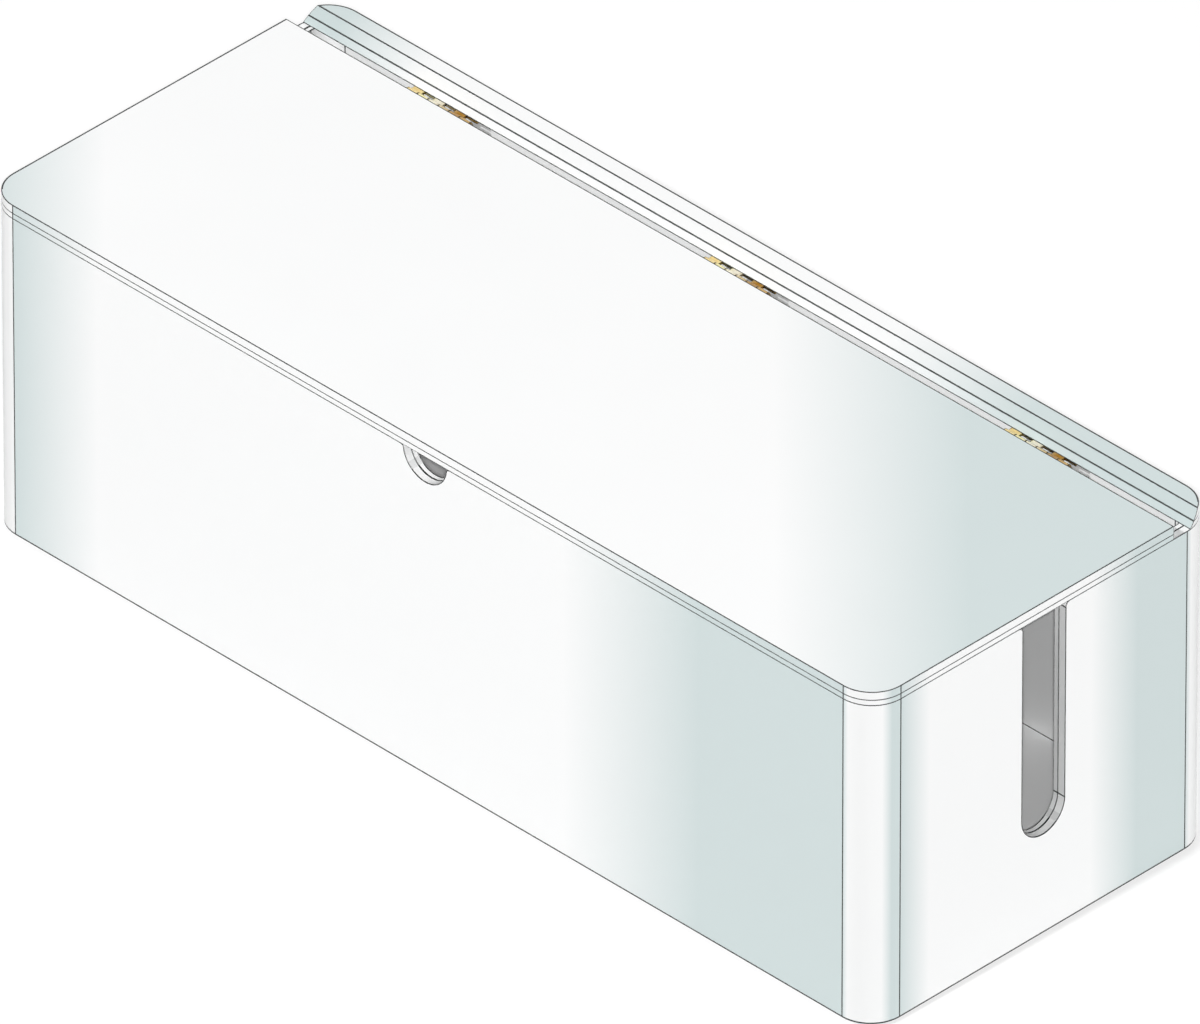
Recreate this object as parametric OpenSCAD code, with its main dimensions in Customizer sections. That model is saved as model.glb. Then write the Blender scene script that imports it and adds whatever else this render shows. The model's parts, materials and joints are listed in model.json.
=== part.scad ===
// Cable management box: a two-layer box with a hinged lid.
// Millimetres, +Z up. The origin is the bottom centre, at the underside of the feet.
// The front faces -Y, and the lid hinges up about a line near the back.

/* [Box] */
// Outside length of the box, left to right
box_l = 393.7; // [350:0.1:460]
// Outside depth of the box, front to back
box_d = 152.4; // [130:0.1:190]
// Height of the box, from the shell's underside to the top of the lid
box_h = 127.0; // [100:0.1:160]
// Radius of the four upright corners
corner_r = 12.7; // [9:0.1:18]

/* [Layers] */
// Thickness of the outer layer: the shell, the lid panel and the rail cap
skin_t = 3.0; // [2:0.1:4]
// Thickness of the inner layer: the liner, the lid backing and the rail base
liner_t = 2.0; // [1.5:0.1:3]
// Glue gap between the liner's walls and the shell's walls
liner_fit = 0.05; // [0.02:0.01:0.2]

/* [Lid and rail] */
// Depth of the rail's flat top
rail_top_d = 6.3; // [5.5:0.1:9]
// Opening between the lid's rear edge and the rail's foot
rear_gap = 7.45; // [7:0.05:10]

/* [Finger notch] */
// Radius of the half-round notch in the front rim
notch_r = 9.525; // [7:0.1:14]
// Rounding where the notch meets the rim
notch_mouth_r = 1.6; // [0.8:0.1:3]

/* [Cable slots] */
// Width of the slot in each end wall
slot_w = 19.05; // [12:0.1:30]
// Height of the slot's lowest point above the shell's underside
slot_bottom = 38.1; // [15:0.1:70]
// Rounding where the slot meets the rim
slot_mouth_r = 2.0; // [1:0.1:4]

/* [Hinges] */
// Length of each hinge, along its pin
hinge_l = 28.0; // [22:0.5:40]
// Distance between the middles of neighbouring hinges
hinge_pitch = 132.6; // [90:0.1:145]
// Knuckles in a hinge, taken in turn by its two leaves
knuckle_count = 6; // [4:2:8]
// Outside radius of the barrel
barrel_r = 1.5; // [1.35:0.05:1.7]
// Radius of the pin
pin_r = 0.8; // [0.6:0.05:0.9]
// Radius of the pin's peened heads
pin_head_r = 1.2; // [1.1:0.05:1.3]
// Thickness of the pin's peened heads
pin_head_t = 0.3; // [0.2:0.05:0.5]
// Thickness of the leaves
leaf_t = 0.9; // [0.7:0.05:1.1]
// Height of the leaves' upper faces above the pin's axis
leaf_rise = 0.3; // [0.2:0.05:0.4]
// Distance from the rail's foot forward to the pin's axis
axis_setback = 3.3; // [2.6:0.1:3.8]
// Slit left where each knuckle's curl closes under its leaf
curl_slit = 0.15; // [0.1:0.05:0.3]

/* [Hinge screws] */
// Distance between the two screws of a leaf
screw_pitch = 18.0; // [12:0.5:20]
// Distance from a leaf's free edge to its screws' axes
screw_edge = 1.9; // [1.6:0.1:2.3]
// Radius of a screw's shank
screw_r = 0.8; // [0.6:0.05:0.9]
// Radius of a screw's countersunk head
screw_head_r = 1.4; // [1.2:0.05:1.55]
// Height of a screw's countersunk head
screw_head_h = 0.55; // [0.4:0.05:0.65]
// Length of a screw's tapered point
screw_point_l = 0.8; // [0.4:0.1:1.2]
// Width of the driver slot in a screw's head
drive_w = 0.35; // [0.25:0.05:0.5]
// Depth of the driver slot in a screw's head
drive_d = 0.25; // [0.15:0.05:0.35]
// Sheet left over the tips of the lid's screws
lid_cover = 1.0; // [0.6:0.1:1.6]
// Sheet left between the rail's screws and its sloping front
rail_cover = 0.4; // [0.3:0.05:0.6]

/* [Feet] */
// Radius of a foot
foot_r = 6.0; // [4:0.5:10]
// Thickness of a foot
foot_t = 1.5; // [1:0.1:4]
// Distance from the box's sides to the middle of a foot
foot_inset = 22.0; // [16:0.5:40]
// Rounding of a foot's lower edge
foot_round = 0.5; // [0.2:0.1:0.9]

/* [Clearances] */
// Gap all round the pin in the knuckles
pin_clear = 0.05; // [0.02:0.01:0.09]
// Gap between neighbouring knuckles, and beside the pin's heads
knuckle_clear = 0.15; // [0.05:0.05:0.3]
// Gap between a leaf and the barrel or wall beside it
leaf_clear = 0.2; // [0.1:0.05:0.4]
// Gap all round a screw in its hole
screw_clear = 0.03; // [0.02:0.01:0.06]

/* [Hidden] */

LARGE_FN = 96;      // facets of the corner arcs, as previewed
SMALL_FN = 48;      // facets of pins, barrels and screws, as previewed
CUT = 1;            // overshoot of a cut past the face it leaves
SHELL_COLOR = "white";
LINER_COLOR = "gainsboro";
BRASS_COLOR = "goldenrod";
RUBBER_COLOR = "dimgray";

// Levels
lid_t = skin_t + liner_t;
rim_z = foot_t + box_h - lid_t;
seam_z = rim_z + liner_t;
axis_z = rim_z - leaf_rise;

// Depth positions
front_y = -box_d / 2;
back_y = box_d / 2;
liner_inset = skin_t + liner_fit;
cavity_inset = liner_inset + liner_t;
rail_foot_y = back_y - rail_top_d - lid_t;
lid_rear_y = rail_foot_y - rear_gap;
axis_y = rail_foot_y - axis_setback;

// Hinge leaves: both reach as far from the pin's axis
leaf_reach = back_y - cavity_inset - leaf_clear - axis_y;
leaf_root = barrel_r + leaf_clear;
knuckle_pitch = hinge_l / knuckle_count;
knuckle_l = knuckle_pitch - knuckle_clear;
bore_r = pin_r + pin_clear;
screw_reach = leaf_reach - screw_edge;
lid_bite = lid_t - lid_cover;
rail_bite = axis_y + screw_reach - screw_r - rail_cover - rail_foot_y;

CASE_SIDE = 1;      // the case's leaf lies behind the pin
LID_SIDE = -1;      // the lid's leaf lies in front of it

// Plan of the box, drawn in by inset on every side, with true corner arcs
module plan(inset) {
    half_l = box_l / 2 - inset;
    half_d = box_d / 2 - inset;
    r = corner_r - inset;
    square([2 * half_l, 2 * (half_d - r)], center = true);
    square([2 * (half_l - r), 2 * half_d], center = true);
    for (sx = [-1, 1], sy = [-1, 1])
        translate([sx * (half_l - r), sy * (half_d - r)]) circle(r, $fn = LARGE_FN);
}

// A cut standing in the XZ plane, its own Y up, run through depth about y = 0
module upright(depth) {
    rotate([90, 0, 0]) linear_extrude(depth, center = true) children();
}

// The finger notch, seen from the front: the origin is on the rim
module notch_outline() {
    fillet_x = sqrt(pow(notch_r, 2) + 2 * notch_r * notch_mouth_r);
    tangent_z = notch_mouth_r * notch_r / (notch_r + notch_mouth_r);
    circle(notch_r, $fn = LARGE_FN);
    difference() {
        translate([-fillet_x, -tangent_z]) square([2 * fillet_x, tangent_z + CUT]);
        for (s = [-1, 1])
            translate([s * fillet_x, -notch_mouth_r]) circle(notch_mouth_r, $fn = SMALL_FN);
    }
}

// A cable slot, seen along the box: the origin is on the rim
module slot_outline() {
    half_w = slot_w / 2;
    round_z = foot_t + slot_bottom + half_w - rim_z;
    mouth_w = slot_w + 2 * slot_mouth_r;
    translate([0, round_z]) circle(half_w, $fn = LARGE_FN);
    translate([-half_w, round_z]) square([slot_w, CUT - round_z]);
    difference() {
        translate([-mouth_w / 2, -slot_mouth_r]) square([mouth_w, slot_mouth_r + CUT]);
        for (s = [-1, 1])
            translate([s * mouth_w / 2, -slot_mouth_r]) circle(slot_mouth_r, $fn = SMALL_FN);
    }
}

// Everything cut through the walls: the notch in front and a slot in each end
module wall_openings() {
    wall_run = 2 * (cavity_inset + CUT);
    translate([0, front_y, rim_z]) upright(wall_run) notch_outline();
    for (side = [-1, 1])
        translate([side * box_l / 2, 0, rim_z]) rotate([0, 0, 90]) upright(wall_run) slot_outline();
}

// A tray with a floor: one layer of the box, from its outside to its inside
module tray(outer_inset, inner_inset, base_z, floor_t) {
    difference() {
        translate([0, 0, base_z]) linear_extrude(rim_z - base_z) plan(outer_inset);
        translate([0, 0, base_z + floor_t])
            linear_extrude(rim_z - base_z - floor_t + CUT) plan(inner_inset);
        wall_openings();
    }
}

module outer_shell() {
    color(SHELL_COLOR) tray(0, skin_t, foot_t, skin_t);
}

module inner_liner() {
    color(LINER_COLOR) tray(liner_inset, cavity_inset, foot_t + skin_t, liner_t);
}

// One layer of the lid: the plan of the box, cut off square at the lid's rear edge
module lid_layer(z, t) {
    translate([0, 0, z]) linear_extrude(t) intersection() {
        plan(0);
        translate([-box_l / 2, front_y]) square([box_l, lid_rear_y - front_y]);
    }
}

module lid_panel() {
    color(SHELL_COLOR) difference() {
        lid_layer(seam_z, skin_t);
        all_screw_holes(LID_SIDE, lid_bite);
    }
}

module lid_backing() {
    color(LINER_COLOR) difference() {
        lid_layer(rim_z, liner_t);
        all_screw_holes(LID_SIDE, lid_bite);
    }
}

// One layer of the rail: the back of the plan, behind a front that slopes at 45 degrees
module rail_layer(z, t) {
    foot_rise = z - rim_z;
    intersection() {
        translate([0, 0, z]) linear_extrude(t) plan(0);
        rotate([90, 0, 90]) linear_extrude(box_l, center = true) polygon([
            [rail_foot_y + foot_rise, z],
            [rail_foot_y + foot_rise + t, z + t],
            [back_y, z + t],
            [back_y, z]
        ]);
    }
}

module rail_cap() {
    color(SHELL_COLOR) difference() {
        rail_layer(seam_z, skin_t);
        all_screw_holes(CASE_SIDE, rail_bite);
    }
}

module rail_base() {
    color(LINER_COLOR) difference() {
        rail_layer(rim_z, liner_t);
        all_screw_holes(CASE_SIDE, rail_bite);
    }
}

// Left end of knuckle k, counted from 0 at the left, in the hinge's own frame
function knuckle_x(k) = -hinge_l / 2 + k * knuckle_pitch + knuckle_clear / 2;

// Places a hinge's parts: x along the box, y and z from the pin's axis
module at_hinge(place) {
    translate([place * hinge_pitch, axis_y, axis_z]) children();
}

// A cylinder lying along X from x0
module lying_cylinder(x0, l, r) {
    translate([x0, 0, 0]) rotate([0, 90, 0]) cylinder(l, r, r, $fn = SMALL_FN);
}

// A slab that lies from near to far of the pin's axis, on one side of it
module slab(side, x0, l, near, far, z0, t) {
    translate([x0, side == CASE_SIDE ? near : -far, z0]) cube([l, far - near, t]);
}

// A leaf: a flat plate whose knuckles curl round the pin and close under the leaf.
// The case's leaf takes the first knuckle at the left, the lid's the second, and so on.
module hinge_leaf(side) {
    plate_near = side == CASE_SIDE ? axis_setback : leaf_root;
    leaf_z = leaf_rise - leaf_t;
    first = side == CASE_SIDE ? 0 : 1;
    knuckles = [first : 2 : knuckle_count - 1];
    difference() {
        union() {
            slab(side, -hinge_l / 2, hinge_l, plate_near, leaf_reach, leaf_z, leaf_t);
            for (k = knuckles) {
                lying_cylinder(knuckle_x(k), knuckle_l, barrel_r);
                slab(side, knuckle_x(k), knuckle_l, 0, plate_near + CUT, leaf_z, leaf_t);
            }
        }
        lying_cylinder(-hinge_l / 2 - CUT, hinge_l + 2 * CUT, bore_r);
        for (k = knuckles)
            slab(side, knuckle_x(k) - knuckle_clear / 2, knuckle_pitch, 0, barrel_r + CUT,
                 leaf_z - curl_slit, curl_slit);
        translate([0, 0, leaf_rise]) screw_holes(side, CUT);
    }
}

// A pin with a peened head at each end
module hinge_pin() {
    shank_l = hinge_l + knuckle_clear;
    lying_cylinder(-shank_l / 2, shank_l, pin_r);
    for (x0 = [-shank_l / 2 - pin_head_t, shank_l / 2])
        lying_cylinder(x0, pin_head_t, pin_head_r);
}

// Children at a leaf's two screws: the origin is on the leaf's upper face
module at_screws(side) {
    for (s = [-1, 1]) translate([s * screw_pitch / 2, side * screw_reach, 0]) children();
}

// A screw's outline, grown by clear: head down, point up, and z = 0 on the leaf's upper face
module screw_body(bite, clear) {
    neck_z = screw_head_h - leaf_t;
    translate([0, 0, -leaf_t])
        cylinder(screw_head_h, screw_head_r + clear, screw_r + clear, $fn = SMALL_FN);
    translate([0, 0, neck_z])
        cylinder(bite - neck_z, screw_r + clear, screw_r + clear, $fn = SMALL_FN);
}

// Holes for a leaf's two screws, open below the leaf
module screw_holes(side, bite) {
    mouth_r = screw_head_r + screw_clear;
    at_screws(side) {
        screw_body(bite, screw_clear);
        translate([0, 0, -leaf_t - CUT]) cylinder(CUT, mouth_r, mouth_r, $fn = SMALL_FN);
    }
}

// Holes for every hinge's screws on one side, in the box's frame
module all_screw_holes(side, bite) {
    for (place = [-1, 0, 1]) at_hinge(place)
        translate([0, 0, leaf_rise]) screw_holes(side, bite + screw_clear);
}

// The two screws of a leaf
module leaf_screws(side, bite) {
    translate([0, 0, leaf_rise]) at_screws(side) difference() {
        union() {
            screw_body(bite - screw_point_l, 0);
            translate([0, 0, bite - screw_point_l])
                cylinder(screw_point_l, screw_r, screw_r / 4, $fn = SMALL_FN);
        }
        translate([-screw_head_r - CUT, -drive_w / 2, -leaf_t - CUT])
            cube([2 * (screw_head_r + CUT), drive_w, CUT + drive_d]);
    }
}

module case_leaf(place) {
    color(BRASS_COLOR) at_hinge(place) hinge_leaf(CASE_SIDE);
}

module lid_leaf(place) {
    color(BRASS_COLOR) at_hinge(place) hinge_leaf(LID_SIDE);
}

module pin(place) {
    color(BRASS_COLOR) at_hinge(place) hinge_pin();
}

module case_screws(place) {
    color(BRASS_COLOR) at_hinge(place) leaf_screws(CASE_SIDE, rail_bite);
}

module lid_screws(place) {
    color(BRASS_COLOR) at_hinge(place) leaf_screws(LID_SIDE, lid_bite);
}

// A stick-on rubber foot, rounded at its lower edge
module foot(sx, sy) {
    color(RUBBER_COLOR)
        translate([sx * (box_l / 2 - foot_inset), sy * (box_d / 2 - foot_inset), 0])
            rotate_extrude($fn = LARGE_FN) {
                square([foot_r - foot_round, foot_t]);
                translate([0, foot_round]) square([foot_r, foot_t - foot_round]);
                translate([foot_r - foot_round, foot_round]) circle(foot_round, $fn = SMALL_FN);
            }
}

outer_shell();
inner_liner();
lid_panel();
lid_backing();
rail_cap();
rail_base();
case_leaf(-1);  // left_hinge_case_leaf
case_leaf(0);  // middle_hinge_case_leaf
case_leaf(1);  // right_hinge_case_leaf
lid_leaf(-1);  // left_hinge_lid_leaf
lid_leaf(0);  // middle_hinge_lid_leaf
lid_leaf(1);  // right_hinge_lid_leaf
pin(-1);  // left_hinge_pin
pin(0);  // middle_hinge_pin
pin(1);  // right_hinge_pin
case_screws(-1);  // left_hinge_case_screws
case_screws(0);  // middle_hinge_case_screws
case_screws(1);  // right_hinge_case_screws
lid_screws(-1);  // left_hinge_lid_screws
lid_screws(0);  // middle_hinge_lid_screws
lid_screws(1);  // right_hinge_lid_screws
foot(-1, -1);  // front_left_foot
foot(1, -1);  // front_right_foot
foot(-1, 1);  // rear_left_foot
foot(1, 1);  // rear_right_foot
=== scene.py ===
import json
import math

import bpy
from bpy.props import FloatProperty, FloatVectorProperty, PointerProperty
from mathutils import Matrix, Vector


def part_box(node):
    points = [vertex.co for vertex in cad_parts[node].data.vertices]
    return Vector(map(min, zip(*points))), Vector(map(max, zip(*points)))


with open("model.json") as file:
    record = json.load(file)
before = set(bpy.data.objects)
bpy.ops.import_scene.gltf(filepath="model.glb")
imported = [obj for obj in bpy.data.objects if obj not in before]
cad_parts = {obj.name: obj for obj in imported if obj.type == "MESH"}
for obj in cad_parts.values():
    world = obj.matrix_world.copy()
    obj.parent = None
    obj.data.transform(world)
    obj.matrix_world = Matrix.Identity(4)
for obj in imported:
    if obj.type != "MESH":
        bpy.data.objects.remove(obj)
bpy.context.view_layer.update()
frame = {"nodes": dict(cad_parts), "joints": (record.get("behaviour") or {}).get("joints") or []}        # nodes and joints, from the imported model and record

bl_info = {
    "name": "Cable Management Box",
    "version": (1, 0, 0),
    "blender": (4, 5, 0),
    "location": "View3D > Sidebar > Cable Box",
    "description": "Finishes the sheets, hinges, screws and feet of a lidded cable box "
                   "and sets its stage",
    "category": "Object",
}

MM = 0.001
SENSOR_WIDTH = 36.0
SHELL_LOW, SHELL_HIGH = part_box("outer_shell")
LID_LOW, LID_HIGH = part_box("lid_panel")
PIN_AXIS = frame["joints"][0]["pos_m"]
HINGES = ("left", "middle", "right")
FEET = ("front_left", "front_right", "rear_left", "rear_right")

# Painted reflection bands, in shares of a face's length
FIRST_BAND_END = 0.102
LAST_BAND_START = 0.666
LAST_BAND_FULL = 0.828
LEFT_ROUND_SPOT = 0.4       # where on a face's length the left round corners take their painted reflection tone
# Fine lines
NO_INNER_EDGE = 1.0         # farther in than any sheet reaches
FAR_SIDE_EXTRA = 0.7        # how much wider the outline's line is on the two far sides
# Brass
BARREL_MARGIN = 1.05        # in barrel radii
JOINT_MARGIN = 1.3          # in barrel radii
# Painted sheen on the barrels, as the share of cream mixed in
BARREL_SHEEN = 0.1
PIN_ROUGHNESS = 0.25
SCREW_ROUGHNESS = 0.28
# Bay
BAY_SHADE_FULL = 4.0          # where the bay's painted shade is full, in bay shade depths below the walls' top
UNDERSIDE_SKIN = 0.05 * MM  # height over which the lid's underside takes the bay's painted shade
# Stage
LAMP_SETBACK = 0.5
CORNER_LAMP_RADIUS = 0.1
FRONT_LAMP_RADIUS = 0.17
FAR_LAMP_SPREAD = 25.0      # in degrees
FAR_LAMP_DISTANCE = 2.0
SHADOW_GREY = 0.45
FLOOR_SIZE = 40.0


def shade(red, green, blue):
    """A colour given as 0 to 255 screen values, as the linear values that shaders take."""
    def linear(value):
        value /= 255
        return value / 12.92 if value <= 0.04045 else ((value + 0.055) / 1.055) ** 2.4
    return tuple(linear(value) for value in (red, green, blue))


def colour(name, description, default):
    """A colour property."""
    return FloatVectorProperty(name=name, description=description, default=default,
                               subtype="COLOR", min=0, max=1)


def length(name, description, default, high=1.0):
    """A length property in metres."""
    return FloatProperty(name=name, description=description, default=default,
                         min=0, max=high, precision=5, unit="LENGTH", subtype="DISTANCE")


def share(name, description, default):
    """A property from 0 to 1."""
    return FloatProperty(name=name, description=description, default=default,
                         min=0, max=1, subtype="FACTOR")


# ---------------------------------------------------------------- settings

class CABLE_BOX_PG_sheet(bpy.types.PropertyGroup):
    gloss_white: colour("Gloss White", "Colour of the outer sheets", (0.92, 0.925, 0.925))
    satin_white: colour("Satin White", "Colour of the inner sheets", (0.92, 0.925, 0.925))
    # Painted reflection: the grey-green bands near the ends of each face
    reflection_tint: colour("Reflection Tint", "Painted grey-green reflection of the bands near the ends of each face",
                      shade(203, 215, 215))
    line_colour: colour("Line Colour", "Colour of the fine dark lines along arrises and seams",
                        (0.02, 0.024, 0.024))
    line_reach: length("Line Reach", "Reach of the dark line on each side of an arris",
                       0.45 * MM, 0.002)
    top_line_reach: length("Top Line Reach",
                           "Reach of the dark line on the lid's and the rail's arrises",
                           0.39 * MM, 0.002)
    border_line: length("Border Line", "Width of the dark line round the top of a sheet",
                        0.35 * MM, 0.002)
    seam_line: length("Seam Line", "Width of the dark line on each side of a seam",
                      0.17 * MM, 0.002)
    foot_line: length("Foot Line", "Width of the dark line at the foot of the walls",
                      0.55 * MM, 0.002)
    scribe_width: length("Scribe Width", "Width of the line where a flat meets a round corner",
                         0.5 * MM, 0.002)
    rim_line: length("Rim Line", "Width of the dark line on each side of the walls' top edge",
                     0.3 * MM, 0.002)
    hole_line: length("Hole Line", "Width of the dark line round the cable slots and the notch",
                      0.26 * MM, 0.002)
    skin: length("Skin Thickness", "Thickness of the outer sheets", 3.0 * MM, 0.02)
    liner: length("Liner Thickness", "Thickness of the inner sheets", 2.0 * MM, 0.02)
    # Painted shade on the slopes and the front right corner, which the lamps light brightest
    lit_face_shade: share("Lit Face Shade",
                       "How much darker the slopes and the front corner are painted in shade", 0.17)
    # Painted shade inside the bay: the inner sheets darker below the walls' top, and the lid's
    # underside
    bay_shade_amount: share("Bay Shade Amount", "How much darker the inner sheets are painted in shade inside the bay",
                    0.12)
    bay_shade_depth: length("Bay Shade Depth", "Depth below the walls' top where the bay's painted shade begins",
                     6.0 * MM, 0.1)
    corner_radius: length("Corner Radius", "Outside radius of the box's corners", 12.7 * MM, 0.05)
    slot_half_width: length("Slot Half Width", "Half the width of a cable slot", 9.525 * MM, 0.05)
    slot_round_height: length("Slot Round Height", "Height where a slot's straight sides end",
                              49.1 * MM, 0.2)
    slot_mouth_height: length("Slot Mouth Height", "Height where a slot's rounded mouth begins",
                              121.5 * MM, 0.2)
    gloss_roughness: share("Gloss Roughness", "Roughness of the outer sheets", 0.2)
    satin_roughness: share("Satin Roughness", "Roughness of the inner sheets", 0.42)


class CABLE_BOX_PG_hinge(bpy.types.PropertyGroup):
    pitch: length("Hinge Pitch", "Distance between the middles of two hinges", 132.6 * MM)
    leaf_length: length("Hinge Length", "Length of one hinge along its pin", 28 * MM, 0.2)
    # Painted reflection: these six tones run along each hinge as a reflection would, not as the
    # brass's own colour
    gold: colour("Gold", "Painted reflection tone of the left knuckle", shade(238, 212, 146))
    straw: colour("Straw", "Painted reflection tone of the second knuckle", shade(240, 232, 172))
    cream: colour("Cream", "Palest painted reflection tone, on the third knuckle", shade(238, 232, 212))
    buff: colour("Buff", "Painted reflection tone of the fourth knuckle", shade(212, 190, 142))
    amber: colour("Amber", "Deepest painted reflection tone, on the fifth knuckle", shade(166, 118, 36))
    bronze: colour("Bronze", "Painted reflection tone of the right knuckle", shade(198, 158, 88))
    roughness: share("Brass Roughness", "Roughness of the rolled brass", 0.3)
    line_reach: length("Brass Line Reach", "Reach of the dark line on each side of a brass edge",
                       0.34 * MM, 0.002)
    line_colour: colour("Brass Line Colour", "Colour of the dark lines at brass edges",
                        (0.06, 0.04, 0.015))
    barrel_radius: length("Barrel Radius", "Radius of the rolled knuckles", 1.5 * MM, 0.01)
    knuckles: FloatProperty(name="Knuckles", description="Number of knuckles along one hinge",
                            default=6, min=2, max=20)
    joint_width: length("Joint Width", "Width of the dark line between two knuckles",
                        0.6 * MM, 0.002)


class CABLE_BOX_PG_foot(bpy.types.PropertyGroup):
    rubber: colour("Rubber", "Colour of the moulded feet", shade(70, 72, 72))
    roughness: share("Rubber Roughness", "Roughness of the moulded feet", 0.75)


class CABLE_BOX_PG_stage(bpy.types.PropertyGroup):
    floor_colour: colour("Floor Colour", "Colour of the floor in the room's own light",
                         (0.36, 0.36, 0.36))
    floor_lift: share("Floor Lift", "Plain white that the camera and reflections see in the floor",
                      0.56)
    dome_strength: FloatProperty(name="Dome Strength", description="Light from all round",
                                 default=0.1, min=0, max=5)
    corner_lamp: FloatProperty(name="Corner Lamp",
                               description="Lamp from over the front right corner",
                               default=2.04, min=0, max=20)
    front_lamp: FloatProperty(name="Front Lamp", description="Lamp from high in front",
                              default=1.8, min=0, max=20)
    side_lamp: FloatProperty(name="Side Lamp", description="Low lamp from the right",
                             default=1.64, min=0, max=20)
    back_lamp: FloatProperty(name="Back Lamp", description="Low lamp from behind the left end",
                             default=2.2, min=0, max=20)
    lens: FloatProperty(name="Lens", description="Focal length in millimetres", default=1400,
                        min=50, max=5000)
    frame_width: length("Frame Width", "Width that the camera takes in at the aim point",
                        377.2 * MM)
    aim: FloatVectorProperty(name="Aim", description="Point that the camera looks at",
                             default=(0.00085, 0.00038, 0.06453), unit="LENGTH", subtype="XYZ")


def settings(context, part):
    """One of the setting groups kept on the scene."""
    return getattr(context.scene, "cable_box_" + part)


# ------------------------------------------------------------- node helpers

def feed(tree, value, socket):
    """Links a socket to another, or sets a plain value."""
    if isinstance(value, bpy.types.NodeSocket):
        tree.links.new(value, socket)
    else:
        socket.default_value = value


def put(tree, kind, **inputs):
    """Adds a shader node and feeds the inputs that are named."""
    node = tree.nodes.new("ShaderNode" + kind)
    for name, value in inputs.items():
        feed(tree, value, node.inputs[name.replace("_", " ")])
    return node


def calc(tree, operation, *values, clamp=False):
    """A Math node's result."""
    node = tree.nodes.new("ShaderNodeMath")
    node.operation = operation
    node.use_clamp = clamp
    for value, socket in zip(values, node.inputs):
        feed(tree, value, socket)
    return node.outputs["Value"]


def either(tree, test, if_zero, if_one):
    """if_zero where the test is 0 and if_one where it is 1."""
    node = tree.nodes.new("ShaderNodeMix")
    feed(tree, test, node.inputs[0])
    feed(tree, if_zero, node.inputs[2])
    feed(tree, if_one, node.inputs[3])
    return node.outputs[0]


def tone(tree, factor, first, second):
    """A mix of two colours."""
    node = tree.nodes.new("ShaderNodeMix")
    node.data_type = "RGBA"
    for value, socket in ((factor, node.inputs[0]), (first, node.inputs[6]),
                          (second, node.inputs[7])):
        if isinstance(value, (tuple, bpy.types.bpy_prop_array)) or hasattr(value, "hsv"):
            value = (*value[:3], 1.0)
        feed(tree, value, socket)
    return node.outputs[2]


def ramp(tree, value, low, high, from_low=0.0, from_high=1.0, smooth=True):
    """value taken from low..high to from_low..from_high, held at both ends."""
    node = tree.nodes.new("ShaderNodeMapRange")
    node.interpolation_type = "SMOOTHSTEP" if smooth else "LINEAR"
    for name, item in (("Value", value), ("From Min", low), ("From Max", high),
                       ("To Min", from_low), ("To Max", from_high)):
        feed(tree, item, node.inputs[name])
    return node.outputs["Result"]


def place(tree):
    """Place and normal on the object, each split into x, y and z."""
    coordinate = tree.nodes.new("ShaderNodeTexCoord")
    spots = put(tree, "SeparateXYZ", Vector=coordinate.outputs["Object"]).outputs
    normals = put(tree, "SeparateXYZ", Vector=coordinate.outputs["Normal"]).outputs
    return spots, normals


def start_group(name, inputs, outputs):
    """A new node group with its sockets: (group, what comes in, what goes out)."""
    group = bpy.data.node_groups.new(name, "ShaderNodeTree")
    for label, default in inputs.items():
        socket = group.interface.new_socket(name=label, in_out="INPUT",
                                            socket_type="NodeSocketFloat")
        socket.default_value = default
    for label in outputs:
        group.interface.new_socket(name=label, in_out="OUTPUT", socket_type="NodeSocketFloat")
    coming = group.nodes.new("NodeGroupInput").outputs
    going = group.nodes.new("NodeGroupOutput").inputs
    return group, coming, going


def use_group(tree, name, **values):
    """Places a node group in a tree with its own values."""
    node = tree.nodes.new("ShaderNodeGroup")
    node.node_tree = bpy.data.node_groups[name]
    for label, value in values.items():
        feed(tree, value, node.inputs[label.replace("_", " ")])
    return node.outputs


# -------------------------------------------------------------- node groups

def make_arris_line():
    """Mask of a thin line on both sides of every arris and inner corner."""
    group, coming, going = start_group("Arris Line", {
        "Reach": 0.0004, "Least Bend": 0.002, "Full Bend": 0.012}, ["Line"])
    bevel = group.nodes.new("ShaderNodeBevel")
    bevel.samples = 6
    group.links.new(coming["Reach"], bevel.inputs["Radius"])
    flat = group.nodes.new("ShaderNodeNewGeometry").outputs["Normal"]
    turn = group.nodes.new("ShaderNodeVectorMath")
    turn.operation = "DOT_PRODUCT"
    group.links.new(bevel.outputs["Normal"], turn.inputs[0])
    group.links.new(flat, turn.inputs[1])
    bend = calc(group, "SUBTRACT", 1.0, turn.outputs["Value"])
    group.links.new(ramp(group, bend, coming["Least Bend"], coming["Full Bend"]), going["Line"])


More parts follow.
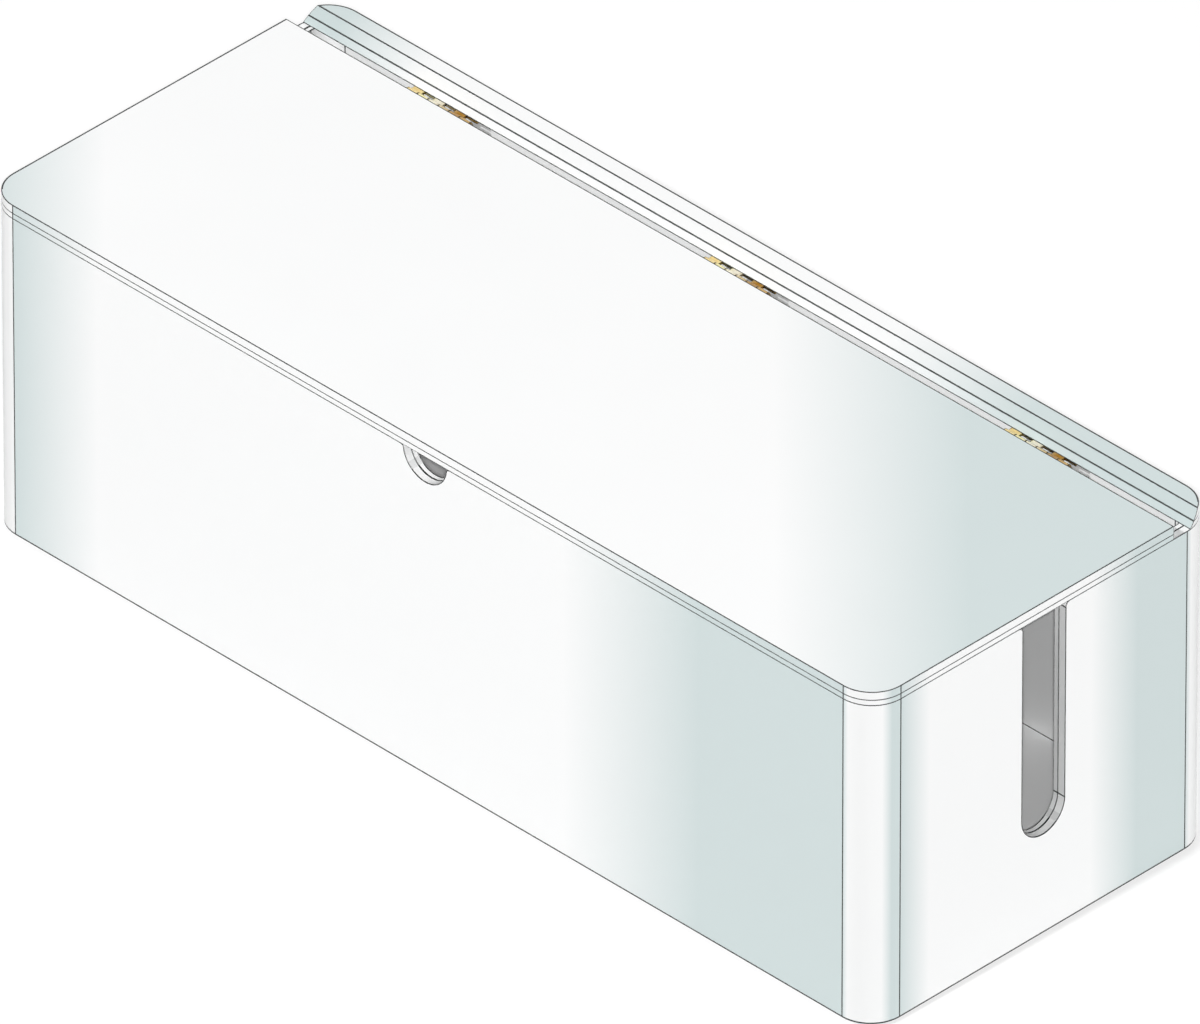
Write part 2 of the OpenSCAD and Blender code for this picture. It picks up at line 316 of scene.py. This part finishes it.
def make_corner_scribe():
    """Mask of the fine lines where a flat meets a round corner, and round the slots and notch."""
    group, coming, going = start_group("Corner Scribe", {
        "Half Length": 0.2, "Half Depth": 0.08, "Corner Radius": 0.01,
        "Slot Half Width": 0.01, "Slot Round Height": 0.05, "Slot Mouth Height": 0.12,
        "Rim Height": 0.12, "Width": 0.0003, "Hole Line": 0.0002}, ["Line"])
    spots, normals = place(group)
    half_line = calc(group, "MULTIPLY", coming["Width"], 0.5)
    flat_x = calc(group, "SUBTRACT", coming["Half Length"], coming["Corner Radius"])
    flat_y = calc(group, "SUBTRACT", coming["Half Depth"], coming["Corner Radius"])
    out_x = calc(group, "ABSOLUTE", spots["X"])
    out_y = calc(group, "ABSOLUTE", spots["Y"])

    def near(place_, line):
        gap = calc(group, "ABSOLUTE", calc(group, "SUBTRACT", place_, line))
        return calc(group, "LESS_THAN", gap, half_line)

    def beyond(place_, line):
        return calc(group, "GREATER_THAN", place_, calc(group, "SUBTRACT", line, half_line))

    upright = calc(group, "LESS_THAN", calc(group, "ABSOLUTE", normals["Z"]), 0.5)
    long_side = calc(group, "MULTIPLY", near(out_x, flat_x), beyond(out_y, flat_y))
    end_side = calc(group, "MULTIPLY", near(out_y, flat_y), beyond(out_x, flat_x))
    corner = calc(group, "MULTIPLY", calc(group, "MAXIMUM", long_side, end_side), upright)
    in_slot = calc(group, "LESS_THAN", out_y,
                   calc(group, "ADD", coming["Slot Half Width"], half_line))
    slot_wall = calc(group, "LESS_THAN", calc(group, "ABSOLUTE", normals["X"]), 0.5)
    tangents = calc(group, "MAXIMUM", near(spots["Z"], coming["Slot Round Height"]),
                    near(spots["Z"], coming["Slot Mouth Height"]))
    slot = calc(group, "MULTIPLY", tangents,
                calc(group, "MULTIPLY", in_slot,
                     calc(group, "MULTIPLY", slot_wall, beyond(out_x, flat_x))))

    def round_hole(along, low):
        """Within the line's width of a round bottomed hole, on the face that it is cut through."""
        drop = calc(group, "MINIMUM", calc(group, "SUBTRACT", spots["Z"], low), 0.0)
        off = calc(group, "SQRT", calc(group, "ADD", calc(group, "MULTIPLY", along, along),
                                       calc(group, "MULTIPLY", drop, drop)))
        return calc(group, "LESS_THAN", off, calc(group, "ADD", coming["Slot Half Width"],
                                                  coming["Hole Line"]))

    end_face = calc(group, "MULTIPLY", calc(group, "SUBTRACT", 1.0, slot_wall),
                    round_hole(out_y, coming["Slot Round Height"]))
    front_face = calc(group, "MULTIPLY",
                      calc(group, "LESS_THAN", normals["Y"], -0.5),
                      calc(group, "MULTIPLY", round_hole(out_x, coming["Rim Height"]),
                           calc(group, "LESS_THAN", spots["Y"], 0.0)))
    below_rim = calc(group, "LESS_THAN", spots["Z"], coming["Rim Height"])
    holes = calc(group, "MULTIPLY", below_rim, calc(group, "MAXIMUM", end_face, front_face))
    group.links.new(calc(group, "MAXIMUM", calc(group, "MAXIMUM", corner, slot), holes),
                    going["Line"])


def make_border_line():
    """Mask of the fine lines round a sheet's border: outline, front and rear, foot and top."""
    group, coming, going = start_group("Border Line", {
        "Half Length": 0.2, "Half Depth": 0.08, "Corner Radius": 0.01, "Front": -0.08,
        "Rear": 0.08, "Low": 0.0, "High": 0.13, "Level Width": 0.0003, "Foot Width": 0.0003,
        "Top Width": 0.0003, "Outer Edge": 0.0, "Inner Edge": NO_INNER_EDGE},
        ["Line"])
    spots, normals = place(group)

    def past_flat(value, half):
        return calc(group, "SUBTRACT", calc(group, "ABSOLUTE", value),
                    calc(group, "SUBTRACT", half, coming["Corner Radius"]))

    def square(value):
        held = calc(group, "MAXIMUM", value, 0.0)
        return calc(group, "MULTIPLY", held, held)

    past_x = past_flat(spots["X"], coming["Half Length"])
    past_y = past_flat(spots["Y"], coming["Half Depth"])
    outward = calc(group, "SQRT", calc(group, "ADD", square(past_x), square(past_y)))
    inward = calc(group, "MINIMUM", calc(group, "MAXIMUM", past_x, past_y), 0.0)
    from_outline = calc(group, "SUBTRACT", coming["Corner Radius"],
                        calc(group, "ADD", outward, inward))
    from_front = calc(group, "SUBTRACT", spots["Y"], coming["Front"])
    from_rear = calc(group, "SUBTRACT", coming["Rear"], spots["Y"])
    by_end = calc(group, "GREATER_THAN", past_x, past_y)
    away = either(group, by_end, calc(group, "GREATER_THAN", spots["Y"], 0.0),
                  calc(group, "LESS_THAN", spots["X"], 0.0))
    outline_share = calc(group, "ADD", 1.0, calc(group, "MULTIPLY", away, FAR_SIDE_EXTRA))
    outline_width = calc(group, "MULTIPLY", coming["Level Width"], outline_share)
    on_outline = calc(group, "LESS_THAN", calc(group, "SUBTRACT", from_outline,
                                               coming["Outer Edge"]), outline_width)
    from_inner = calc(group, "ABSOLUTE", calc(group, "SUBTRACT", coming["Inner Edge"],
                                              from_outline))
    from_edge = calc(group, "MINIMUM", from_inner, calc(group, "MINIMUM", from_front, from_rear))
    on_level = calc(group, "MAXIMUM", on_outline,
                    calc(group, "LESS_THAN", from_edge, coming["Level Width"]))
    on_foot = calc(group, "LESS_THAN", calc(group, "SUBTRACT", spots["Z"], coming["Low"]),
                   coming["Foot Width"])
    on_top = calc(group, "LESS_THAN", calc(group, "SUBTRACT", coming["High"], spots["Z"]),
                  coming["Top Width"])
    level = calc(group, "GREATER_THAN", calc(group, "ABSOLUTE", normals["Z"]), 0.8)
    group.links.new(either(group, level, calc(group, "MAXIMUM", on_foot, on_top), on_level),
                    going["Line"])


def make_reflection_bands():
    """Masks of the painted reflection bands at both ends of every face, and of the brightest lit
    faces, which take painted shade.
    """
    group, coming, going = start_group("Reflection Bands", {
        "Half Length": 0.2, "Half Depth": 0.08, "Corner Radius": 0.01, "Top Depth": 0.13,
        "Slanted Top": 0.0, "Top Share": 1.0}, ["Band", "Bright"])
    spots, normals = place(group)
    flat_x = calc(group, "SUBTRACT", coming["Half Length"], coming["Corner Radius"])
    flat_y = calc(group, "SUBTRACT", coming["Half Depth"], coming["Corner Radius"])
    out_x = calc(group, "ABSOLUTE", spots["X"])
    out_y = calc(group, "ABSOLUTE", spots["Y"])

    def along(value, half):
        return calc(group, "DIVIDE", calc(group, "ADD", value, half),
                    calc(group, "MULTIPLY", half, 2.0))

    on_long = along(spots["X"], flat_x)
    on_end = along(spots["Y"], flat_y)
    corner_sum = calc(group, "ADD", calc(group, "ADD", spots["X"], coming["Half Length"]),
                      calc(group, "ADD", spots["Y"], coming["Half Depth"]))
    on_top = calc(group, "DIVIDE", corner_sum,
                  calc(group, "ADD", calc(group, "MULTIPLY", coming["Half Length"], 2.0),
                       coming["Top Depth"]))
    turned = calc(group, "DIVIDE", calc(group, "ARCTAN2", calc(group, "SUBTRACT", out_x, flat_x),
                                        calc(group, "SUBTRACT", out_y, flat_y)), math.pi / 2)
    rear = calc(group, "GREATER_THAN", spots["Y"], 0.0)
    on_round = either(group, rear, turned, calc(group, "SUBTRACT", 1.0, turned))
    left = calc(group, "LESS_THAN", spots["X"], 0.0)
    bow = calc(group, "MULTIPLY", calc(group, "MULTIPLY", turned, 4.0),
               calc(group, "SUBTRACT", 1.0, turned))
    ahead = calc(group, "SUBTRACT", 1.0, calc(group, "MAXIMUM", left, rear))
    on_round = either(group, left, on_round, LEFT_ROUND_SPOT)
    past_x = calc(group, "GREATER_THAN", out_x, flat_x)
    past_y = calc(group, "GREATER_THAN", out_y, flat_y)
    round_wall = calc(group, "MULTIPLY", past_x, past_y)
    wall = either(group, past_x, on_long, on_end)
    wall = either(group, round_wall, wall, on_round)
    rise = calc(group, "ABSOLUTE", normals["Z"])
    level = calc(group, "GREATER_THAN", rise, 0.6)
    # The slopes and the middle of the front right corner, lit brightest by the lamps, take painted
    # shade
    sloping = calc(group, "MULTIPLY", level, calc(group, "LESS_THAN", rise, 0.8))
    corner = calc(group, "MULTIPLY", calc(group, "MULTIPLY", bow, ahead),
                  calc(group, "MULTIPLY", round_wall, calc(group, "SUBTRACT", 1.0, level)))
    group.links.new(calc(group, "MAXIMUM", sloping, corner), going["Bright"])
    top = either(group, coming["Slanted Top"], on_long, on_top)
    spot = either(group, level, wall, top)
    start = ramp(group, spot, 0.0, FIRST_BAND_END, 1.0, 0.0, smooth=False)
    end = ramp(group, spot, LAST_BAND_START, LAST_BAND_FULL, smooth=False)
    held = either(group, level, 1.0, coming["Top Share"])
    group.links.new(calc(group, "MULTIPLY", calc(group, "MAXIMUM", start, end), held),
                    going["Band"])


def make_fine_grain():
    """A fine uneven surface: a height for bump, and a value round 0 for roughness."""
    group, coming, going = start_group("Fine Grain", {"Scale": 300.0, "Amount": 0.05},
                                       ["Roughness", "Height"])
    coordinate = group.nodes.new("ShaderNodeTexCoord")
    small = put(group, "TexNoise", Vector=coordinate.outputs["Object"], Scale=coming["Scale"],
                Detail=3.0)
    large_scale = calc(group, "MULTIPLY", coming["Scale"], 0.06)
    large = put(group, "TexNoise", Vector=coordinate.outputs["Object"], Scale=large_scale,
                Detail=2.0)
    centred = calc(group, "SUBTRACT", large.outputs["Fac"], 0.5)
    group.links.new(calc(group, "MULTIPLY", centred, coming["Amount"]), going["Roughness"])
    group.links.new(small.outputs["Fac"], going["Height"])


def make_brass_run():
    """Place along one hinge from 0 to 1, a mask of its barrel, and its knuckles' dividing lines."""
    group, coming, going = start_group("Brass Run", {
        "Pitch": 0.13, "Length": 0.028, "Pin Y": 0.06, "Pin Z": 0.12, "Barrel Radius": 0.0015,
        "Knuckles": 6.0, "Joint Width": 0.0006}, ["Run", "Barrel", "Line"])
    spots, normals = place(group)
    half_pitch = calc(group, "MULTIPLY", coming["Pitch"], 0.5)
    across = calc(group, "WRAP", spots["X"], half_pitch, calc(group, "MULTIPLY", half_pitch, -1.0))
    run = calc(group, "ADD", calc(group, "DIVIDE", across, coming["Length"]), 0.5, clamp=True)
    group.links.new(run, going["Run"])
    off_y = calc(group, "SUBTRACT", spots["Y"], coming["Pin Y"])
    off_z = calc(group, "SUBTRACT", spots["Z"], coming["Pin Z"])
    reach = calc(group, "SQRT", calc(group, "ADD", calc(group, "MULTIPLY", off_y, off_y),
                                     calc(group, "MULTIPLY", off_z, off_z)))
    group.links.new(calc(group, "LESS_THAN", reach, calc(group, "MULTIPLY",
                                                         coming["Barrel Radius"], BARREL_MARGIN)),
                    going["Barrel"])
    knuckle = calc(group, "DIVIDE", coming["Length"], coming["Knuckles"])
    from_end = calc(group, "ADD", across, calc(group, "MULTIPLY", coming["Length"], 0.5))
    in_knuckle = calc(group, "WRAP", from_end, knuckle, 0.0)
    to_joint = calc(group, "MINIMUM", in_knuckle, calc(group, "SUBTRACT", knuckle, in_knuckle))
    off_pin = calc(group, "ABSOLUTE", off_y)
    near_pin = calc(group, "LESS_THAN", off_pin, calc(group, "MULTIPLY",
                                                      coming["Barrel Radius"], JOINT_MARGIN))
    round_face = calc(group, "LESS_THAN", calc(group, "ABSOLUTE", normals["X"]), 0.5)
    joint = calc(group, "MULTIPLY", calc(group, "MULTIPLY", near_pin, round_face), calc(
        group, "LESS_THAN", to_joint, calc(group, "MULTIPLY", coming["Joint Width"], 0.5)))
    group.links.new(joint, going["Line"])


# ---------------------------------------------------------------- materials

def start_material(name):
    """A new material with its tree and Principled shader."""
    material = bpy.data.materials.new(name)
    material.use_nodes = True
    tree = material.node_tree
    return material, tree, tree.nodes["Principled BSDF"]


def wear(tree, shader, roughness, grain_scale, grain_amount, bump):
    """Fine grain on a shader's roughness and normal."""
    grain = use_group(tree, "Fine Grain", Scale=grain_scale, Amount=grain_amount)
    rough = calc(tree, "ADD", grain["Roughness"], roughness, clamp=True)
    tree.links.new(rough, shader.inputs["Roughness"])
    relief = put(tree, "Bump", Strength=bump, Distance=0.0002, Height=grain["Height"])
    tree.links.new(relief.outputs["Normal"], shader.inputs["Normal"])


def sheet_material(context, node, name, base, roughness, reach, front=None,
                   foot_line=None, edges=(0.0, NO_INNER_EDGE), level_line=None,
                   slanted_top=0.0, top_share=1.0, band_share=1.0, bay=None):
    """White sheet with painted reflection bands, painted shade on its brightest faces and, where
    given, in the bay, and fine dark lines along its arrises and its border.
    """
    sheet = settings(context, "sheet")
    material, tree, shader = start_material(name)
    low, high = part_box(node)
    plan = {"Half_Length": SHELL_HIGH.x, "Half_Depth": SHELL_HIGH.y,
            "Corner_Radius": sheet.corner_radius}
    bands = use_group(tree, "Reflection Bands", **plan, Top_Depth=LID_HIGH.y - LID_LOW.y,
                      Slanted_Top=slanted_top, Top_Share=top_share)
    arris = use_group(tree, "Arris Line", Reach=reach)
    scribe = use_group(tree, "Corner Scribe", **plan, Slot_Half_Width=sheet.slot_half_width,
                       Slot_Round_Height=sheet.slot_round_height,
                       Slot_Mouth_Height=sheet.slot_mouth_height, Rim_Height=SHELL_HIGH.z,
                       Width=sheet.scribe_width, Hole_Line=sheet.hole_line)
    outer_edge, inner_edge = edges
    border = use_group(tree, "Border Line", **plan, Front=front or low.y, Rear=high.y,
                       Low=low.z, High=high.z, Outer_Edge=outer_edge, Inner_Edge=inner_edge,
                       Level_Width=level_line or sheet.border_line,
                       Foot_Width=foot_line or sheet.seam_line, Top_Width=sheet.seam_line)
    line = calc(tree, "MAXIMUM", calc(tree, "MAXIMUM", arris["Line"], scribe["Line"]),
                border["Line"])
    # Painted reflection: grey-green bands near both ends of each face
    tint = calc(tree, "MULTIPLY", bands["Band"], band_share)
    tinted = tone(tree, tint, tuple(base), tuple(sheet.reflection_tint))
    # Painted shade on the brightest lit faces
    fall = calc(tree, "MULTIPLY", bands["Bright"], sheet.lit_face_shade)
    # Painted shade inside the bay, darker towards the bottom
    if bay:
        inside = ramp(tree, place(tree)[0]["Z"], *bay, 1.0, 0.0)
        fall = calc(tree, "ADD", fall, calc(tree, "MULTIPLY", inside, sheet.bay_shade_amount))
    # The painted shade darkens the base colour towards black
    evened = tone(tree, fall, tinted, (0.0, 0.0, 0.0))
    tree.links.new(tone(tree, line, evened, tuple(sheet.line_colour)), shader.inputs["Base Color"])
    wear(tree, shader, roughness, 450.0, 0.08, 0.03)
    shader.inputs["IOR"].default_value = 1.49
    for slot in frame["nodes"][node].material_slots:
        slot.material = material


def brass_material(context, name, reflection_tones, roughness, lined=False):
    """Rolled brass with a painted reflection running along the hinge as its tone, a painted sheen
    on its barrels, and dark lines at its edges.
    """
    hinge = settings(context, "hinge")
    material, tree, shader = start_material(name)
    _, pin_y, pin_z = PIN_AXIS
    run = use_group(tree, "Brass Run", Pitch=hinge.pitch, Length=hinge.leaf_length,
                    Pin_Y=pin_y, Pin_Z=pin_z, Barrel_Radius=hinge.barrel_radius,
                    Knuckles=hinge.knuckles, Joint_Width=hinge.joint_width * lined)
    # Painted reflection: the tone runs along the hinge from knuckle to knuckle
    strip = tree.nodes.new("ShaderNodeValToRGB")
    strip.color_ramp.interpolation = "EASE"
    marks = strip.color_ramp.elements
    while len(marks) < len(reflection_tones):
        marks.new(0.99)
    for index, (mark, colour_) in enumerate(zip(marks, reflection_tones)):
        mark.position = (index + 0.5) / len(reflection_tones)
        mark.color = (*colour_, 1.0)
    tree.links.new(run["Run"], strip.inputs["Fac"])
    # Painted sheen: the barrels paled toward cream
    barrel_sheen = calc(tree, "MULTIPLY", run["Barrel"], BARREL_SHEEN)
    metal = tone(tree, barrel_sheen, strip.outputs["Color"], tuple(hinge.cream))
    arris = use_group(tree, "Arris Line", Reach=hinge.line_reach, Least_Bend=0.008,
                      Full_Bend=0.03)
    line = calc(tree, "MAXIMUM", arris["Line"], run["Line"])
    base = tone(tree, line, metal, tuple(hinge.line_colour))
    tree.links.new(base, shader.inputs["Base Color"])
    shader.inputs["Metallic"].default_value = 1.0
    wear(tree, shader, roughness, 900.0, 0.12, 0.06)
    return material


def rubber_material(context):
    """Matt moulded rubber."""
    foot = settings(context, "foot")
    material, tree, shader = start_material("Moulded Rubber")
    grain = use_group(tree, "Fine Grain", Scale=1200.0, Amount=0.3)
    base = tone(tree, calc(tree, "ADD", grain["Roughness"], 0.5, clamp=True),
                tuple(channel * 0.85 for channel in foot.rubber), tuple(foot.rubber))
    tree.links.new(base, shader.inputs["Base Color"])
    wear(tree, shader, foot.roughness, 1200.0, 0.1, 0.3)
    return material


def dress(material, *names):
    """Gives CAD nodes their material, in every slot."""
    for name in names:
        for slot in frame["nodes"][name].material_slots:
            slot.material = material


# ---------------------------------------------------------------- operators

class CABLE_BOX_OT_groups(bpy.types.Operator):
    """Build the node groups that the finishes share"""
    bl_idname = "cable_box.groups"
    bl_label = "Build Finish Groups"

    def execute(self, context):
        make_arris_line()
        make_corner_scribe()
        make_border_line()
        make_reflection_bands()
        make_fine_grain()
        make_brass_run()
        return {"FINISHED"}


class CABLE_BOX_OT_outer_sheets(bpy.types.Operator):
    """Finish the gloss outer sheets: the shell, the lid's panel and the rail's cap"""
    bl_idname = "cable_box.outer_sheets"
    bl_label = "Finish Outer Sheets"

    def execute(self, context):
        sheet = settings(context, "sheet")
        gloss = (sheet.gloss_white, sheet.gloss_roughness)
        cap_low, cap_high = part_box("rail_cap")
        sheet_material(context, "outer_shell", "Gloss Walls", *gloss, sheet.line_reach,
                       foot_line=sheet.foot_line, edges=(0.0, sheet.skin),
                       level_line=sheet.rim_line, top_share=0.0)
        sheet_material(context, "lid_panel", "Gloss Lid", *gloss, sheet.top_line_reach,
                       slanted_top=1.0)
        sheet_material(context, "rail_cap", "Gloss Rail", *gloss, sheet.top_line_reach,
                       front=cap_low.y + cap_high.z - cap_low.z)
        return {"FINISHED"}


class CABLE_BOX_OT_inner_sheets(bpy.types.Operator):
    """Finish the satin inner sheets: the liner, the lid's backing and the rail's base"""
    bl_idname = "cable_box.inner_sheets"
    bl_label = "Finish Inner Sheets"

    def execute(self, context):
        sheet = settings(context, "sheet")
        satin = (sheet.satin_white, sheet.satin_roughness)
        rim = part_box("inner_liner")[1].z
        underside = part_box("lid_backing")[0].z
        # The liner takes painted shade below the walls' top, darker deeper in the bay
        sheet_material(context, "inner_liner", "Satin Liner", *satin, sheet.line_reach,
                       edges=(sheet.skin, sheet.skin + sheet.liner),
                       level_line=sheet.rim_line, band_share=0.0,
                       bay=(rim - BAY_SHADE_FULL * sheet.bay_shade_depth, rim - sheet.bay_shade_depth))
        # The lid's backing takes the same painted shade on its underside
        sheet_material(context, "lid_backing", "Satin Backing", *satin, sheet.top_line_reach,
                       top_share=0.0, bay=(underside, underside + UNDERSIDE_SKIN))
        sheet_material(context, "rail_base", "Satin Rail", *satin, sheet.top_line_reach)
        return {"FINISHED"}


class CABLE_BOX_OT_hinges(bpy.types.Operator):
    """Finish the hinge leaves, pins and screws in brass"""
    bl_idname = "cable_box.hinges"
    bl_label = "Finish Hinges"

    def execute(self, context):
        hinge = settings(context, "hinge")
        # Painted reflection runs along each hinge on the leaves, pins and screws
        reflection_tones = (hinge.gold, hinge.straw, hinge.cream, hinge.buff, hinge.amber, hinge.bronze)
        leaf = brass_material(context, "Rolled Brass", reflection_tones, hinge.roughness, lined=True)
        pin = brass_material(context, "Drawn Brass", (hinge.straw, hinge.bronze), PIN_ROUGHNESS)
        screw = brass_material(context, "Turned Brass", (hinge.gold, hinge.bronze),
                               SCREW_ROUGHNESS)
        for side in HINGES:
            dress(leaf, side + "_hinge_case_leaf", side + "_hinge_lid_leaf")
            dress(pin, side + "_hinge_pin")
            dress(screw, side + "_hinge_case_screws", side + "_hinge_lid_screws")
        return {"FINISHED"}


class CABLE_BOX_OT_feet(bpy.types.Operator):
    """Finish the four moulded feet"""
    bl_idname = "cable_box.feet"
    bl_label = "Finish Feet"

    def execute(self, context):
        rubber = rubber_material(context)
        dress(rubber, *(corner + "_foot" for corner in FEET))
        return {"FINISHED"}


class CABLE_BOX_OT_stage(bpy.types.Operator):
    """Set the pale floor, the even light and the camera"""
    bl_idname = "cable_box.stage"
    bl_label = "Set Stage"

    def execute(self, context):
        stage = settings(context, "stage")
        scene = context.scene
        scene.view_settings.view_transform = "Standard"
        self.add_floor(stage)
        self.add_dome(scene, stage)
        toward = Vector((1.0, -1.0, 1.0)).normalized()
        away = stage.lens * stage.frame_width / SENSOR_WIDTH
        eye = Vector(stage.aim) + toward * away
        self.add_near_lamp("Corner Lamp", eye + toward * LAMP_SETBACK, stage.corner_lamp,
                           CORNER_LAMP_RADIUS)
        self.add_near_lamp("Front Lamp", Vector((0.0, eye.y, eye.z)), stage.front_lamp,
                           FRONT_LAMP_RADIUS)
        self.add_far_lamp("Side Lamp", Vector((1.0, 0.45, 0.12)), stage.side_lamp)
        self.add_far_lamp("Back Lamp", Vector((-1.0, 0.9, 0.14)), stage.back_lamp)
        self.add_camera(scene, stage, eye, toward)
        return {"FINISHED"}

    def seen_directly(self, tree):
        """1 for what the camera, a reflection or a look through glass meets."""
        path = tree.nodes.new("ShaderNodeLightPath").outputs
        seen = calc(tree, "MAXIMUM", path["Is Camera Ray"], path["Is Glossy Ray"])
        return calc(tree, "MAXIMUM", seen, path["Is Transmission Ray"])

    def add_floor(self, stage):
        bpy.ops.object.select_all(action="DESELECT")
        bpy.ops.mesh.primitive_plane_add(size=FLOOR_SIZE, location=(0, 0, 0))
        floor = bpy.context.object
        floor.name = "studio_floor"
        material, tree, plain = start_material("Pale Floor")
        plain.inputs["Base Color"].default_value = (*stage.floor_colour, 1.0)
        plain.inputs["Roughness"].default_value = 0.9
        plain.inputs["Specular IOR Level"].default_value = 0.0
        kept_shadow = put(tree, "BsdfDiffuse", Color=(*(SHADOW_GREY,) * 3, 1.0))
        lift = put(tree, "Emission", Color=(1.0, 1.0, 1.0, 1.0), Strength=stage.floor_lift)
        both = tree.nodes.new("ShaderNodeAddShader")
        tree.links.new(kept_shadow.outputs[0], both.inputs[0])
        tree.links.new(lift.outputs[0], both.inputs[1])
        mix = tree.nodes.new("ShaderNodeMixShader")
        tree.links.new(self.seen_directly(tree), mix.inputs[0])
        tree.links.new(plain.outputs[0], mix.inputs[1])
        tree.links.new(both.outputs[0], mix.inputs[2])
        tree.links.new(mix.outputs[0], tree.nodes["Material Output"].inputs["Surface"])
        floor.data.materials.append(material)

    def add_dome(self, scene, stage):
        world = bpy.data.worlds.new("Even Dome")
        world.use_nodes = True
        scene.world = world
        tree = world.node_tree
        background = tree.nodes["Background"]
        background.inputs["Color"].default_value = (1.0, 1.0, 1.0, 1.0)
        strength = either(tree, self.seen_directly(tree), stage.dome_strength, 1.0)
        tree.links.new(strength, background.inputs["Strength"])

    def add_near_lamp(self, name, spot, strength, radius):
        """A lamp at a spot, whose strength is the light that reaches the object."""
        lamp = bpy.data.lights.new(name, "POINT")
        lamp.energy = strength * 4.0 * math.pi * spot.length_squared
        lamp.shadow_soft_size = radius
        self.add_holder(lamp, spot, spot)

    def add_far_lamp(self, name, toward, strength):
        """A lamp so far away that its light is even."""
        lamp = bpy.data.lights.new(name, "SUN")
        lamp.energy = strength
        lamp.angle = math.radians(FAR_LAMP_SPREAD)
        self.add_holder(lamp, toward * FAR_LAMP_DISTANCE, toward)

    def add_camera(self, scene, stage, eye, toward):
        camera = bpy.data.cameras.new("Camera")
        camera.sensor_width = SENSOR_WIDTH
        camera.lens = stage.lens
        camera.clip_start = 0.1
        camera.clip_end = 4.0 * eye.length
        scene.camera = self.add_holder(camera, eye, toward)

    def add_holder(self, data, spot, toward):
        """The object that carries a lamp or the camera, turned back along toward."""
        holder = bpy.data.objects.new(data.name, data)
        holder.rotation_mode = "QUATERNION"
        holder.rotation_quaternion = toward.to_track_quat("Z", "Y")
        holder.location = spot
        bpy.context.collection.objects.link(holder)
        return holder


class CABLE_BOX_PT_panel(bpy.types.Panel):
    """Settings and steps of the cable box"""
    bl_label = "Cable Box"
    bl_idname = "CABLE_BOX_PT_panel"
    bl_space_type = "VIEW_3D"
    bl_region_type = "UI"
    bl_category = "Cable Box"

    def draw(self, context):
        for part, group in SETTINGS.items():
            column = self.layout.column(align=True)
            column.label(text=part.capitalize())
            for name in group.__annotations__:
                column.prop(settings(context, part), name)
        column = self.layout.column(align=True)
        for step in STEPS:
            column.operator(step.bl_idname)


SETTINGS = {
    "sheet": CABLE_BOX_PG_sheet,
    "hinge": CABLE_BOX_PG_hinge,
    "foot": CABLE_BOX_PG_foot,
    "stage": CABLE_BOX_PG_stage,
}
STEPS = (
    CABLE_BOX_OT_groups,
    CABLE_BOX_OT_outer_sheets,
    CABLE_BOX_OT_inner_sheets,
    CABLE_BOX_OT_hinges,
    CABLE_BOX_OT_feet,
    CABLE_BOX_OT_stage,
)


def register():
    for item in (*SETTINGS.values(), *STEPS, CABLE_BOX_PT_panel):
        bpy.utils.register_class(item)
    for part, group in SETTINGS.items():
        setattr(bpy.types.Scene, "cable_box_" + part, PointerProperty(type=group))


def unregister():
    for part in SETTINGS:
        delattr(bpy.types.Scene, "cable_box_" + part)
    for item in (CABLE_BOX_PT_panel, *reversed(STEPS), *reversed(SETTINGS.values())):
        bpy.utils.unregister_class(item)


def main():
    """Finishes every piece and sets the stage."""
    register()
    for step in STEPS:
        family, name = step.bl_idname.split(".")
        getattr(getattr(bpy.ops, family), name)()


if __name__ == "__main__":
    main()
